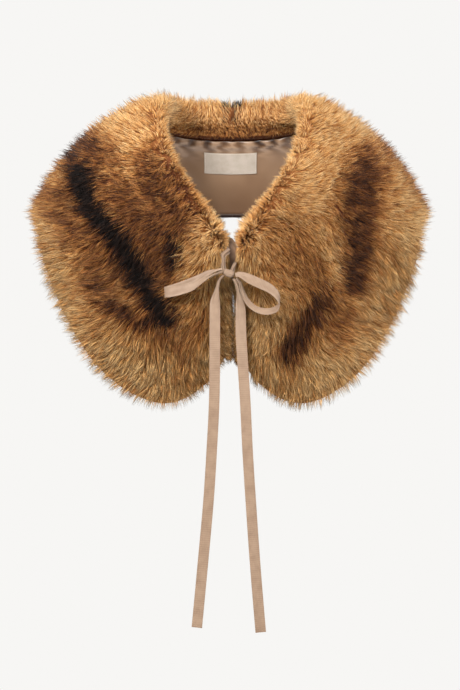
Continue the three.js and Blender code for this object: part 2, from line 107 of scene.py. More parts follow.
# The middle of the ribbon at each row, and across it to its selvedge as a share of its width.
TIE_RIGHT = (
    {"at": (-5.2, -120, -163), "wide": (0.02, -0.12, -0.5)},
    {"at": (-5.6, -132.5, -166), "wide": (0.14, -0.2, -0.5)},
    {"at": (-11.2, -138.5, -171.5), "wide": (0.42, -0.16, -0.34)},
    {"at": (-10.9, -141, -178), "wide": (0.34, -0.2, -0.25)},
    {"at": (-11.2, -144, -184.5), "wide": (0.42, -0.12, -0.1)},
    {"at": (-9.5, -147, -191), "wide": (0.5, 0, -0.2)},
)
TIE_LEFT = (
    {"at": (4.1, -119, -179), "wide": (0.02, -0.2, -0.45)},
    {"at": (1.8, -130, -183.5), "wide": (0.04, -0.24, -0.4)},
    {"at": (0, -139.5, -188), "wide": (0.2, -0.24, -0.34)},
    {"at": (-1.7, -147, -193.5), "wide": (0.5, 0, -0.24)},
)
LOOP_RIGHT = (
    {"at": (-12.4, -154, -191.6), "wide": (0.04, -0.63, 0.08)},
    {"at": (-20, -155, -194), "wide": (0, -0.79, -0.08)},
    {"at": (-28, -156.5, -197.6), "wide": (-0.08, -0.87, -0.31)},
    {"at": (-36, -158, -202.6), "wide": (-0.28, -0.63, -0.71)},
    {"at": (-45, -158.5, -208.3), "wide": (-0.28, -0.28, -0.91)},
    {"at": (-58, -158, -212.4), "wide": (-0.16, -0.16, -0.97)},
    {"at": (-70, -156.5, -215), "wide": (-0.04, -0.08, -0.99)},
    {"at": (-78.3, -155, -216), "wide": (0.04, -0.04, -1)},
    {"at": (-81.3, -152.5, -216), "wide": (0.06, 0, -1)},
    {"at": (-78.3, -150, -215), "wide": (0.04, 0, -1)},
    {"at": (-68, -149.5, -211.5), "wide": (-0.08, 0.04, -0.99)},
    {"at": (-55, -150, -206.5), "wide": (-0.16, 0, -0.98)},
    {"at": (-42, -150.5, -200.5), "wide": (-0.2, -0.31, -0.91)},
    {"at": (-30, -151.5, -193.6), "wide": (-0.12, -0.63, -0.55)},
    {"at": (-20, -152.5, -190.2), "wide": (0, -0.75, -0.08)},
    {"at": (-12.4, -153, -188.9), "wide": (0, -0.63, 0.08)},
)
LOOP_LEFT = (
    {"at": (3.3, -156, -195.7), "wide": (0, -0.55, -0.24)},
    {"at": (8.4, -157, -195.2), "wide": (-0.08, -0.63, -0.47)},
    {"at": (18.9, -158, -199.7), "wide": (-0.24, -0.47, -0.83)},
    {"at": (31.1, -158.5, -205.3), "wide": (-0.31, -0.39, -0.87)},
    {"at": (44, -158.5, -211.6), "wide": (-0.31, -0.47, -0.79)},
    {"at": (52.5, -158, -219), "wide": (-0.24, -0.63, -0.72)},
    {"at": (56, -157.5, -227.5), "wide": (-0.08, -0.71, -0.69)},
    {"at": (54, -157.5, -234.5), "wide": (0, -0.75, -0.65)},
    {"at": (47.2, -157.5, -238.3), "wide": (0, -0.76, -0.63)},
    {"at": (39.2, -157, -239.3), "wide": (0, -0.76, -0.63)},
    {"at": (29, -156, -236.9), "wide": (-0.12, -0.76, -0.61)},
    {"at": (20, -155, -230.3), "wide": (-0.24, -0.76, -0.57)},
    {"at": (14, -153.5, -221.3), "wide": (-0.31, -0.75, -0.51)},
    {"at": (10.8, -152, -211.5), "wide": (-0.31, -0.71, -0.39)},
    {"at": (8.5, -151, -203.3), "wide": (-0.24, -0.63, -0.31)},
    {"at": (4.2, -150.3, -199.2), "wide": (-0.16, -0.51, -0.24)},
)
TAIL_RIGHT = (
    {"at": (-11.5, -151, -195.8), "wide": (0.04, -0.55, 0)},
    {"at": (-15.6, -151.5, -200.4), "wide": (0.08, -0.63, 0)},
    {"at": (-18.5, -152, -209), "wide": (0.31, -0.67, 0)},
    {"at": (-19.7, -152.5, -217), "wide": (0.59, -0.63, 0)},
    {"at": (-21, -153, -227), "wide": (0.89, -0.35, 0)},
    {"at": (-21.2, -153.5, -238), "wide": (0.99, -0.12, 0)},
    {"at": (-21.3, -153.5, -266), "wide": (1, 0, 0)},
    {"at": (-22, -153.5, -345), "wide": (1, 0.05, 0)},
    {"at": (-25, -153, -405), "wide": (0.99, 0.13, -0.06)},
    {"at": (-28.8, -152, -464), "wide": (0.99, 0.08, -0.08)},
    {"at": (-35.6, -151.5, -540), "wide": (0.99, -0.06, -0.09)},
    {"at": (-42.8, -151, -616.5), "wide": (0.99, -0.11, -0.09)},
)
TAIL_LEFT = (
    {"at": (1.1, -152, -199.8), "wide": (0, -0.51, -0.08)},
    {"at": (4, -152, -206.5), "wide": (0.12, -0.63, 0)},
    {"at": (6.6, -151, -217), "wide": (0.35, -0.71, 0)},
    {"at": (8.4, -151.5, -226), "wide": (0.68, -0.63, 0)},
    {"at": (9.4, -152, -236), "wide": (0.92, -0.31, 0)},
    {"at": (9.9, -153, -266), "wide": (1, -0.04, 0)},
    {"at": (14.9, -153.5, -345), "wide": (1, -0.05, 0.03)},
    {"at": (17.8, -153.5, -405), "wide": (0.99, -0.11, 0.06)},
    {"at": (21.5, -153, -464), "wide": (0.99, -0.05, 0.08)},
    {"at": (27, -152.5, -543), "wide": (0.99, 0.08, 0.08)},
    {"at": (33.5, -152, -622), "wide": (0.99, 0.13, 0.08)},
)
PLEATS = 1.5  # waves across the ribbon where it is drawn in at the knot
KNOT = {"at": (-4.9, -152.0, -193.6), "long": 14.0, "high": 8.6, "deep": 9.0, "tilt": 23.0}

# The fur's markings on the fronts, as read in the photograph's frame of 460 by 690 pixels.
# dark is 0 for gold, near 0.5 for brown and 1 for black. wide is half the marking's width.
FRONT_MARKINGS = (
    # wearer's right
    {"through": ((66, 146), (78, 166), (88, 196)), "wide": 12, "dark": 0.74},
    {"through": ((79, 172), (88, 201), (108, 227), (126, 253), (142, 277)), "wide": 13, "dark": 1.3},
    {"through": ((142, 277), (155, 300), (167, 318)), "wide": 11, "dark": 1.25},
    {"through": ((60, 150), (84, 140), (104, 160)), "wide": 17, "dark": 0.5},
    {"through": ((84, 160), (104, 216), (134, 262), (158, 308)), "wide": 26, "dark": 0.44},
    {"through": ((172, 238), (172, 262)), "wide": 8, "dark": 1.1},
    {"through": ((150, 172), (164, 200), (182, 222)), "wide": 19, "dark": 0.56},
    {"through": ((128, 196), (150, 232), (166, 270)), "wide": 18, "dark": 0.52},
    {"through": ((98, 264), (102, 288), (118, 304)), "wide": 9, "dark": 0.55},
    {"through": ((112, 302), (132, 317), (152, 325)), "wide": 10, "dark": 0.68},
    {"through": ((92, 250), (110, 300), (150, 320)), "wide": 22, "dark": 0.36},
    {"through": ((48, 192), (66, 216), (84, 244)), "wide": 17, "dark": 0.42},
    {"through": ((160, 338), (184, 344), (204, 322)), "wide": 14, "dark": 0.28},
    # wearer's left
    {"through": ((364, 172), (357, 200), (358, 236)), "wide": 20, "dark": 0.64},
    {"through": ((359, 232), (355, 262), (351, 286)), "wide": 14, "dark": 0.68},
    {"through": ((325, 300), (307, 318), (297, 340), (293, 352)), "wide": 13, "dark": 0.68},
    {"through": ((272, 240), (296, 262), (320, 296)), "wide": 24, "dark": 0.32},
    {"through": ((330, 290), (346, 318), (330, 330)), "wide": 14, "dark": 0.3},
    {"through": ((388, 148), (408, 166), (424, 196)), "wide": 12, "dark": 0.34},
    {"through": ((380, 190), (384, 250)), "wide": 12, "dark": 0.24},
)
# The same on the back, placed in the band's own measure: along it from the centre back to the
# front edge, and across it from the neck edge to the hem. Hidden in the photograph, so judged.
# The last row on each side is painted shade, a dark band along the hem deep in the hollow.
BACK_MARKINGS = {
    "right": (
        {"through": ((0.31, 0.5), (0.24, 0.58), (0.17, 0.64), (0.08, 0.74)), "wide": 0.055, "dark": 0.95},
        {"through": ((0.3, 0.36), (0.2, 0.4), (0.12, 0.48)), "wide": 0.05, "dark": 0.5},
        {"through": ((0.16, 0.84), (0.06, 0.9)), "wide": 0.05, "dark": 0.4},
        # painted shade along the hem, deep in the hollow
        {"through": ((0.0, 1.04), (0.3, 1.04)), "wide": 0.04, "dark": 0.55},
    ),
    "left": (
        {"through": ((0.3, 0.62), (0.22, 0.6), (0.13, 0.66), (0.05, 0.7)), "wide": 0.055, "dark": 0.72},
        {"through": ((0.24, 0.34), (0.14, 0.36), (0.04, 0.42)), "wide": 0.06, "dark": 0.4},
        {"through": ((0.2, 0.86), (0.1, 0.9)), "wide": 0.05, "dark": 0.34},
        # painted shade along the hem, deep in the hollow
        {"through": ((0.0, 1.04), (0.3, 1.04)), "wide": 0.04, "dark": 0.55},
    ),
}
GOLD = (  # the brightest gold: beside the tie, at the outer rims and low on both lobes
    {"at": (202, 248), "wide": 24, "by": 0.16}, {"at": (262, 246), "wide": 20, "by": 0.24},
    {"at": (122, 360), "wide": 32, "by": 0.14}, {"at": (330, 372), "wide": 34, "by": 0.14},
    {"at": (408, 236), "wide": 26, "by": 0.16}, {"at": (250, 330), "wide": 26, "by": 0.1},
)
NAPE_TIPS = {"from": -13.0, "to": 13.0}  # black tips at the centre of the back's neck edge

# The hair: how many strands each layer has on each half, their radius and their reach along the nap.
COAT_FRONT = {"strands": 45000, "edge": 3400, "radius": 0.44, "reach": 19.0, "top": 0.84,
              "heights": (0.0, 1.0), "lean": (0.12, 0.55), "tipped": 0.0}
COAT_BACK = {"strands": 30000, "edge": 0, "radius": 0.5, "reach": 18.0, "top": 0.84,
             "heights": (0.0, 1.0), "lean": (0.12, 0.55), "tipped": 0.0}
GUARD = {"strands": 9000, "edge": 400, "radius": 0.52, "reach": 18.0, "top": 1.1,
         "heights": (0.0, 0.55, 1.0), "lean": (0.6, 0.93), "tipped": 0.5}
NECK_FRINGE = {"left": 1.3, "right": 1.0}  # more height at the neck edge, towards the tie
UPRIGHT = 0.42  # what is left of the hair's lie where the pile faces sideways or up

MINGLES = 5.5  # how far the two fronts' hair runs into each other
FEATHER = 4.5  # how far the markings' hairs mingle at their edges
FRONT_FROM = 0.3  # where along the band the front's coat takes over from the back's
SEWN = 0.02  # half the line of the centre back seam between the two halves of the underfur
UNDERFUR = 0.52  # the height of the dense underfur, as a share of the pile
ROOTED = 0.34  # the height at which the strands start, inside the underfur
CLUMP = 8.0  # spacing of the clumps that the strands lean into


def srgb(text):
    """An sRGB hex colour as linear red, green, blue and alpha."""
    values = [int(text[i : i + 2], 16) / 255 for i in (0, 2, 4)]
    return [v / 12.92 if v <= 0.04045 else ((v + 0.055) / 1.055) ** 2.4 for v in values] + [1.0]


def smooth(value, low, high):
    """0 below low, 1 above high, and eased between them."""
    t = np.clip((np.asarray(value, float) - low) / (high - low), 0, 1)
    return t * t * (3 - 2 * t)


def mix(a, b, share):
    return a + (b - a) * share


def unit(vectors):
    return vectors / np.maximum(np.linalg.norm(vectors, axis=-1, keepdims=True), 1e-9)


def column(values):
    """Numbers as a column, to scale vectors with."""
    return np.asarray(values, float)[..., None]


def scatter(a, b):
    """A repeatable value from -1 to 1 for a pair of numbers."""
    value = np.sin(np.asarray(a) * 127.1 + np.asarray(b) * 311.7) * 43758.5453
    return 2 * (value - np.floor(value)) - 1


def swell(x, y, seed):
    """A smooth uneven wave from about -1 to 1 over a plane, whose hills are about 1 apart."""
    total = np.zeros(np.broadcast(x, y).shape)
    for k in range(5):
        turn = 2.4 * k + seed
        pitch = 2.2 + 0.9 * k
        total += np.sin(pitch * (x * math.cos(turn) + y * math.sin(turn)) + 1.7 * k * seed) / 2.6
    return total


# The band's surface

LAST = len(BAND) - 1


def rail_points(edge):
    """A rail's points, with the mirrored second row before the first and a straight run-out."""
    points = [np.array(row[edge], float) for row in BAND]
    points = [points[1] * (-1, 1, 1)] + points + [2 * points[-1] - points[-2]]
    return np.array([2 * points[0] - points[1]] + points + [2 * points[-1] - points[-2]])


RAILS = {edge: rail_points(edge) for edge in ("neck", "middle", "hem")}


def on_rail(edge, along):
    place = np.asarray(along, float) * LAST + 2
    k = np.clip(np.floor(place).astype(int), 1, LAST + 3)
    t = column(place - k)
    a, b, c, d = (RAILS[edge][k + step] for step in (-1, 0, 1, 2))
    return 0.5 * (2 * b + (c - a) * t + (2 * a - 5 * b + 4 * c - d) * t**2 + (3 * b - a - 3 * c + d) * t**3)


def reach(name, along):
    return np.interp(along, np.arange(LAST + 1) / LAST, [row[name] for row in BAND])


def cloth(along, across):
    """A point of the backing cloth: along 0 is the centre back, and across 0 the neck edge."""
    c = column(across)
    point = on_rail("neck", along) * (1 - c) * (1 - 2 * c) + on_rail("middle", along) * 4 * c * (1 - c)
    return point + on_rail("hem", along) * c * (2 * c - 1)


def directions(along, across):
    """The cloth's directions at a point: out from the wearer, away from the neck edge, and down."""
    step = 1e-3
    run = unit(cloth(along + step, across) - cloth(along - step, across))
    fall = unit(cloth(along, across + step) - cloth(along, across - step))
    out = unit(np.cross(run, fall))
    out = unit(mix(out, np.array((0.0, -1.0, 0.0)), column(smooth(along, *FACES_FORWARD))))
    return out, unit(np.cross(out, run)), fall, run


def width_at(along):
    return np.linalg.norm(cloth(along, np.zeros_like(along)) - cloth(along, np.ones_like(along)), axis=-1)


def facing_at(along):
    """The depth of the strip of fur that is turned in at the neck."""
    narrowing = FACING["at_nape"] * (1 - smooth(along, FACING["from"], FACING["to"]))
    return np.maximum(narrowing, FACING["at_front"])


def off_cloth(along, across, past, out):
    """A point off the cloth: out along its normal, or past its edge at right angles to that edge."""
    normal, away = directions(along, across)[:2]
    far = np.where(across < 0.5, -reach("above", along), reach("below", along))
    return cloth(along, across) + normal * column(out) + away * column(past * far)


def pile_at(along, down):
    """The height of the pile, down being measured from the neck edge and less than 0 on the facing."""
    share = mix(ROLL["at_nape"], ROLL["at_front"], smooth(along, ROLL["from"], ROLL["to"]))
    edge = reach("above", along)
    inside = mix(PILE * share, edge, smooth(down, -20, -2)) * smooth(facing_at(along) + down, -3, 7)
    outside = mix(edge, PILE, smooth(down, 2, 20))
    return np.where(down < 0, inside, outside)


def skin(along, down):
    """Where hair is rooted, with the pile's direction and its nap there, round the neck edge and on
    past the hem."""
    width = width_at(along)
    across = np.clip(np.abs(down) / width, 0, 1)
    past = np.maximum(down - width, 0)
    out, away, fall, run = directions(along, across)
    turned = column(math.pi / 2 * (1 - np.sin(np.clip(down / FOLD, -1, 1) * math.pi / 2)))
    lie = unit(mix(fall, away, np.where(column(down) < 0, 1.0, 0.45)))
    stand = out * np.cos(turned) - away * np.sin(turned)
    nap = out * np.sin(turned) + lie * np.cos(turned)
    return cloth(along, across) + away * column(past), stand, nap, run, past


def front_gap(height):
    """The fronts part a little above the tie and close again where the neck edges meet."""
    near_tie = np.exp(-(((height - PARTED["height"]) / PARTED["reach"]) ** 4))
    return FRONT_GAP + (PARTED["gap"] - FRONT_GAP) * near_tie


def pile_left(point):
    """What is left of the pile's height under the bow."""
    near = (point[..., 0] / TIE_DENT["wide"]) ** 2
    near = near + ((point[..., 2] - TIE_DENT["height"]) / TIE_DENT["high"]) ** 2
    return 1 - TIE_DENT["share"] * np.exp(-near)


def in_pile(along, down, height, root=None, wrap=1.0, closing=0.0, drawn=1.0):
    """A point at a share of the pile's height. With a root further up, the point lies partly straight
    on from there, as hair does, and not all round the curve of the cloth. closing is the angle by
    which the pile of the front edge has turned from outwards to towards the other front."""
    point, stand, nap, run, past = skin(along, down)
    below = reach("below", along)
    rounding = 1 - 0.62 * np.clip(past / below, 0, 1.3) ** 1.6
    tall = pile_at(along, down) * height * rounding * np.cos(closing)
    place = point + stand * column(tall * pile_left(point))
    if root is not None:
        start, start_stand, start_nap, _, _ = skin(along, root)
        tall = pile_at(along, root) * height * np.cos(closing)
        straight = start + start_stand * column(tall * pile_left(start)) + start_nap * column(down - root)
        place = mix(straight, place, column(wrap))
    place[..., 0] -= np.maximum(place[..., 0] - front_gap(place[..., 2]), 0) * np.sin(closing) * drawn
    return place, run


def held_apart(point, along, ease=0.0):
    """Each half keeps to its own side at the front edges, but for the hair that mingles there."""
    gap = front_gap(point[..., 2])
    edge = np.where(along > 0.5, gap - ease * FRONT_GAP / gap, -4.0)
    point = point.copy()
    point[..., 0] = np.maximum(point[..., 0], edge)
    return point


def on_side(point, sign):
    """The wearer's left is at +X. The right is its mirror image, a little wider at the shoulder."""
    point = np.array(point, float)
    if sign < 0:
        x = point[..., 0]
        point[..., 0] = -x * (1 + WIDER_RIGHT["by"] * smooth(x, WIDER_RIGHT["from"], WIDER_RIGHT["to"]))
    return point


# Meshes

def finish_piece(made, name, material, replaces=()):
    """Puts a bmesh or mesh into the scene as a piece of the object."""
    if isinstance(made, bmesh.types.BMesh):
        mesh = bpy.data.meshes.new(name)
        made.to_mesh(mesh)
        made.free()
    else:
        mesh = made
    mesh.materials.append(material)
    mesh.shade_smooth()
    piece = bpy.data.objects.new(name, mesh)
    bpy.context.scene.collection.objects.link(piece)
    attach(piece, "root")
    if replaces:
        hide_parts(*replaces)
    return piece


def grid_mesh(columns, rows, place, size):
    """A grid whose points are put in place by a function of two shares, with its UV in metres."""
    bm = bmesh.new()
    bmesh.ops.create_grid(bm, x_segments=columns, y_segments=rows, size=0.5)
    shares = np.array([vertex.co[:2] for vertex in bm.verts]) + 0.5
    uv = bm.loops.layers.uv.new("cloth")
    for face in bm.faces:
        for loop in face.loops:
            share = shares[loop.vert.index] if loop.vert.index >= 0 else (0, 0)
            loop[uv].uv = (share[0] * size[0], share[1] * size[1])
    for vertex, point in zip(bm.verts, place(shares[:, 0], shares[:, 1]) * MM):
        vertex.co = point
    return bm


def thickened(piece, thick, offset=0.0):
    """Gives a single layer of cloth its thickness."""
    solid = piece.modifiers.new("thickness", "SOLIDIFY")
    solid.thickness = thick * MM
    solid.offset = offset
    return piece


# Materials

def node(tree, kind, inputs=None, stops=None, **settings):
    """Adds a node, with its settings, its plain values and its links from other nodes' sockets."""
    made = tree.nodes.new("ShaderNode" + kind)
    for name, value in settings.items():
        setattr(made, name, value)
    for name, value in (inputs or {}).items():
        if isinstance(value, bpy.types.NodeSocket):
            tree.links.new(value, made.inputs[name])
        else:
            made.inputs[name].default_value = value
    for k, (place, colour) in enumerate(stops or ()):
        points = made.color_ramp.elements
        point = points[k] if k < 2 else points.new(place)
        point.position = place
        point.color = colour
    return made


def grey(value):
    return (value, value, value, 1.0)


def new_material(name, **principled):
    """A material with its shader, and the shader's plain values."""
    material = bpy.data.materials.new(name)
    material.use_nodes = True
    shader = material.node_tree.nodes["Principled BSDF"]
    for socket, value in principled.items():
        shader.inputs[socket.replace("_", " ")].default_value = value
    return material, material.node_tree, shader


# Modacrylic pile, printed and then brushed: a soft satin gleam along each hair, dark at the tips of the
# longer hairs, and painted shade that darkens each hair towards its root, deep in the pile.
FUR_TONES = (
    (0.0, srgb("F2CF9A")),
    (0.16, srgb("E1AE6E")),
    (0.36, srgb("BA804A")),
    (0.56, srgb("7C4D2C")),
    (0.78, srgb("341D13")),
    (1.0, srgb("140D0B")),
)
DARK_TIP = srgb("33221A")


def pile_material():
    material, tree, shader = new_material("brushed_modacrylic_pile", Roughness=0.6, Sheen_Weight=0.04,
                                          Sheen_Roughness=0.5, Specular_IOR_Level=0.14)
    rise, dark, chance = (
        node(tree, "Attribute", attribute_name=name).outputs["Fac"] for name in ("rise", "dark", "chance")
    )
    spread = node(tree, "Math", {0: chance, 1: 0.42, 2: -0.22}, operation="MULTIPLY_ADD")
    tone = node(tree, "Math", {0: dark, 1: spread.outputs[0]}, operation="ADD", use_clamp=True)
    colour = node(tree, "ValToRGB", {"Fac": tone.outputs[0]}, stops=FUR_TONES)
    # Painted shade: each hair is darker towards its root, where it stands deep in the pile.
    painted_root_shade = ((0.0, srgb("6C4B2C")), (0.5, srgb("DFCAA9")), (1.0, grey(1.0)))
    shade = node(tree, "ValToRGB", {"Fac": rise}, stops=painted_root_shade)
    shaded = node(tree, "Mix", {0: 1.0, 6: colour.outputs[0], 7: shade.outputs[0]},
                  data_type="RGBA", blend_type="MULTIPLY")
    tip = node(tree, "MapRange", {"Value": rise, "From Min": 0.5, "From Max": 0.85, "To Max": 0.9})
    long_hair = node(tree, "MapRange", {"Value": chance, "From Min": 0.62, "From Max": 0.85})
    tipped = node(tree, "Math", {0: tip.outputs[0], 1: long_hair.outputs[0]}, operation="MULTIPLY")
    final = node(tree, "Mix", {0: tipped.outputs[0], 6: shaded.outputs[2], 7: DARK_TIP}, data_type="RGBA")
    tree.links.new(final.outputs[2], shader.inputs["Base Color"])
    return material


def underfur_material():
    """The dense short hair under the long: matt and darker, with a fine nap."""
    material, tree, shader = new_material("dense_underfur", Roughness=0.85, Sheen_Weight=0.05,
                                          Specular_IOR_Level=0.2)
    dark = node(tree, "Attribute", attribute_name="dark").outputs["Fac"]
    place = node(tree, "TexCoord").outputs["Object"]
    nap = node(tree, "TexNoise", {"Vector": place, "Scale": 420.0, "Detail": 3.0}).outputs["Fac"]
    varied = node(tree, "Math", {0: nap, 1: 0.3, 2: -0.02}, operation="MULTIPLY_ADD")
    tone = node(tree, "Math", {0: dark, 1: varied.outputs[0]}, operation="ADD", use_clamp=True)
    colour = node(tree, "ValToRGB", {"Fac": tone.outputs[0]}, stops=FUR_TONES)
    shaded = node(tree, "Mix", {0: 1.0, 6: colour.outputs[0], 7: srgb("8F7561")}, data_type="RGBA",
                  blend_type="MULTIPLY")
    bump = node(tree, "Bump", {"Height": nap, "Strength": 0.6, "Distance": 0.002})
    tree.links.new(shaded.outputs[2], shader.inputs["Base Color"])
    tree.links.new(bump.outputs[0], shader.inputs["Normal"])
    return material


def satin_material():
    """Polyester satin: long floats along the weft give a broad soft gleam over a taupe ground.
    Its colour is darkened by painted shade read from the lining: in the gathers' troughs, towards the hem
    and along the hem line.
    """
    material, tree, shader = new_material("polyester_satin", Roughness=0.34, Sheen_Weight=0.15,
                                          Sheen_Roughness=0.3, Specular_IOR_Level=0.6, Anisotropic=0.5)
    place = node(tree, "TexCoord").outputs["Object"]
    cloudy = node(tree, "TexNoise", {"Vector": place, "Scale": 14.0, "Detail": 2.0}).outputs["Fac"]
    colour = node(tree, "ValToRGB", {"Fac": cloudy}, stops=((0.3, srgb("8D7057")), (0.7, srgb("AD8F73"))))
    # Painted shade from the lining's points: dark in the gathers' troughs, towards the hem and along the hem
    # line.
    shade = node(tree, "Attribute", attribute_name="shade").outputs["Fac"]
    painted_fold_shade = ((0.2, srgb("4A3528")), (0.6, srgb("B7AAA0")), (1.0, grey(1.0)))
    depth = node(tree, "ValToRGB", {"Fac": shade}, stops=painted_fold_shade)
    shaded = node(tree, "Mix", {0: 1.0, 6: colour.outputs[0], 7: depth.outputs[0]}, data_type="RGBA",
                  blend_type="MULTIPLY")
    uv = node(tree, "UVMap", uv_map="cloth").outputs["UV"]
    stretched = node(tree, "Mapping", {"Vector": uv, "Scale": (900.0, 90.0, 1.0)})
    floats = node(tree, "TexNoise", {"Vector": stretched.outputs[0], "Scale": 1.0, "Detail": 2.0})
    bump = node(tree, "Bump", {"Height": floats.outputs["Fac"], "Strength": 0.12, "Distance": 0.0004})
    tree.links.new(shaded.outputs[2], shader.inputs["Base Color"])
    tree.links.new(bump.outputs[0], shader.inputs["Normal"])
    return material


def weave_material(name, pale, deep, along_mm, across_mm, roughness, strength):
    """A plain or ribbed weave drawn on the piece's own UV: the threads' spacing along and across it
    is in millimetres."""
    material, tree, shader = new_material(name, Roughness=roughness, Sheen_Weight=0.2,
                                          Sheen_Roughness=0.4, Specular_IOR_Level=0.3)
    uv = node(tree, "UVMap", uv_map="cloth").outputs["UV"]
    parts = node(tree, "SeparateXYZ", {0: uv})
    waves = []
    for axis, spacing in ((0, across_mm), (1, along_mm)):
        per_metre = 2 * math.pi / (spacing * MM)
        turns = node(tree, "Math", {0: parts.outputs[axis], 1: per_metre}, operation="MULTIPLY")
        waves.append(node(tree, "Math", {0: turns.outputs[0]}, operation="SINE").outputs[0])
    threads = node(tree, "Math", {0: waves[0], 1: waves[1]}, operation="ADD").outputs[0]
    height = node(tree, "MapRange", {"Value": threads, "From Min": -2.0, "From Max": 2.0}).outputs[0]
    place = node(tree, "TexCoord").outputs["Object"]
    slub = node(tree, "TexNoise", {"Vector": place, "Scale": 90.0, "Detail": 3.0}).outputs["Fac"]
    shade = node(tree, "Math", {0: height, 1: 0.45, 2: slub}, operation="MULTIPLY_ADD")
    colour = node(tree, "ValToRGB", {"Fac": shade.outputs[0]}, stops=((0.35, srgb(deep)), (0.95, srgb(pale))))
    bump = node(tree, "Bump", {"Height": height, "Strength": strength, "Distance": 0.0003})
    tree.links.new(colour.outputs[0], shader.inputs["Base Color"])
    tree.links.new(bump.outputs[0], shader.inputs["Normal"])
    return material


def plain_material(name, colour, roughness):
    """A matt surface with a faint mottle, for the stage and the sewing thread."""
    material, tree, shader = new_material(name, Roughness=roughness)
    place = node(tree, "TexCoord").outputs["Object"]
    mottle = node(tree, "TexNoise", {"Vector": place, "Scale": 30.0}).outputs["Fac"]
    paler = [min(1.0, value * 1.06) for value in srgb(colour)]
    tint = node(tree, "ValToRGB", {"Fac": mottle}, stops=((0.35, srgb(colour)), (0.65, paler)))
    tree.links.new(tint.outputs[0], shader.inputs["Base Color"])
    return material


# The fur

def in_view(point):
    """Where a point shows in the photograph's frame, in pixels."""
    ahead = point[..., 1] - CAMERA["y"]
    px = PHOTO["wide"] / 2 + PIXELS_FOCAL * (point[..., 0] - CAMERA["x"]) / ahead
    py = PHOTO["high"] / 2 - PIXELS_FOCAL * (point[..., 2] - CAMERA["z"]) / ahead
    return np.stack([px, py], -1)


def marked(places, marks, size=(1.0, 1.0)):
    """How dark the markings are at each place: each is a line with a width and soft edges."""
    scale = np.array(size)
    places = places * scale
    dark = np.zeros(len(places))
    for mark in marks:
        line = np.array(mark["through"], float) * scale
        nearest = np.full(len(places), 1e9)
        for start, end in zip(line[:-1], line[1:]):
            share = np.clip(((places - start) @ (end - start)) / ((end - start) @ (end - start)), 0, 1)
            from_line = np.linalg.norm(places - start - share[:, None] * (end - start), axis=1)
            nearest = np.minimum(nearest, from_line)
        wide = mark["wide"] * scale[0]
        ragged = nearest + 0.16 * wide * swell(places[:, 0] / wide, places[:, 1] / wide, 3.1)
        dark = np.maximum(dark, mark["dark"] * (1 - smooth(ragged, 0.2 * wide, 1.75 * wide)))
    return dark


def darkness(point, along, down, side):
    """How dark the fur is: 0 for gold to 1 for black. On the facing it includes painted shade towards the
    seam.
    """
    base = 0.06 + 0.07 * swell(along * 14, down / 38, 1.3 if side == "left" else 2.9)
    seen = in_view(point)
    front = marked(seen, FRONT_MARKINGS)
    gold = sum(
        spot["by"] * np.exp(-(np.linalg.norm(seen - spot["at"], axis=1) / spot["wide"]) ** 2)
        for spot in GOLD
    )
    across = np.clip(down / width_at(along), 0, 1.1)
    back = marked(np.stack([along, across], -1), BACK_MARKINGS[side], (1.0, 0.42))
    fronts = smooth(along, 0.25, 0.33)
    dark = base + (1 - base) * mix(back, front, fronts) - gold * fronts
    depth = facing_at(along)
    turned_in = 1 - smooth(down, -8, 6)
    # The facing turned in at the neck: a slightly varied tone, with painted shade that darkens it towards the
    # seam, under the roll of the pile.
    facing = mix(0.13, 0.4, smooth(-down / depth, 0.35, 1.0)) + 0.04 * swell(along * 30, down / 20, 4.2)
    return mix(dark, facing, turned_in * (1 - smooth(along, 0.4, 0.7)))


def underfur(side, sign, material):
    """The pile's body under its long hair, from the facing's seam over the neck edge to the hem and
    back up the inside of the cloth."""
    outer_share, front_share = 0.75, 0.95

    def place(u, v):
        along = np.clip(u / front_share, 0, 1)
        closing = np.clip((u - front_share) / (1 - front_share), 0, 1) * math.radians(78)
        facing, width = facing_at(along), width_at(along)
        outside = np.clip(v / outer_share, 0, 1)
        down = mix(-facing, width + mix(0.8, 0.5, smooth(along, 0.15, 0.35)) * reach("below", along), outside)
        lumps = 0.07 * swell(along * 520 / CLUMP / 1.6, down / CLUMP / 1.6, 5.5)
        height = (UNDERFUR + lumps) * smooth(outside, 0, 0.03)
        outer, _ = in_pile(along, down, height, closing=closing, drawn=0.8)
        inside = np.clip((v - outer_share) / (1 - outer_share), 0, 1)
        inner = cloth(along, mix(1.0, facing / width, inside))
        point = np.where(column(v) <= outer_share + 1e-6, outer, inner)
        edge = front_gap(point[:, 2]) - 0.7
        past_edge = np.maximum(point[:, 0] - edge, 0) * np.sin(closing)
        point[:, 0] -= past_edge * (column(v) > outer_share)[:, 0] * 0.8
        point[:, 0] = np.maximum(point[:, 0], np.where(along > 0.5, edge, SEWN))
        return on_side(point, sign)

    bm = grid_mesh(120, 72, place, (0.52, 0.5))
    bmesh.ops.remove_doubles(bm, verts=bm.verts, dist=5e-5)
    bmesh.ops.holes_fill(bm, edges=bm.edges, sides=0)
    bmesh.ops.triangulate(bm, faces=[face for face in bm.faces if len(face.verts) > 4])
    bmesh.ops.recalc_face_normals(bm, faces=bm.faces)
    piece = finish_piece(bm, f"underfur_{side}", material, [f"fur_{side}"])
    points = np.array([vertex.co for vertex in piece.data.vertices]) / MM
    paint(piece.data, dark=near_darkness(points, side, sign))
    return piece


def near_darkness(points, side, sign):
    """The fur's darkness at points whose place on the band isn't at hand: that of the nearest of
    many places spread over it."""
    along, down = np.meshgrid(np.linspace(0, 1, 90), np.linspace(0, 1, 60), indexing="ij")
    along = along.ravel()
    down = mix(-facing_at(along), width_at(along) + 8, down.ravel())
    spots = on_side(in_pile(along, down, UNDERFUR)[0], sign)
    dark = darkness(spots, along, down, side)
    tree = KDTree(len(spots))
    for k, spot in enumerate(spots):
        tree.insert(spot, k)
    tree.balance()
    return np.array([dark[tree.find(point)[1]] for point in points])


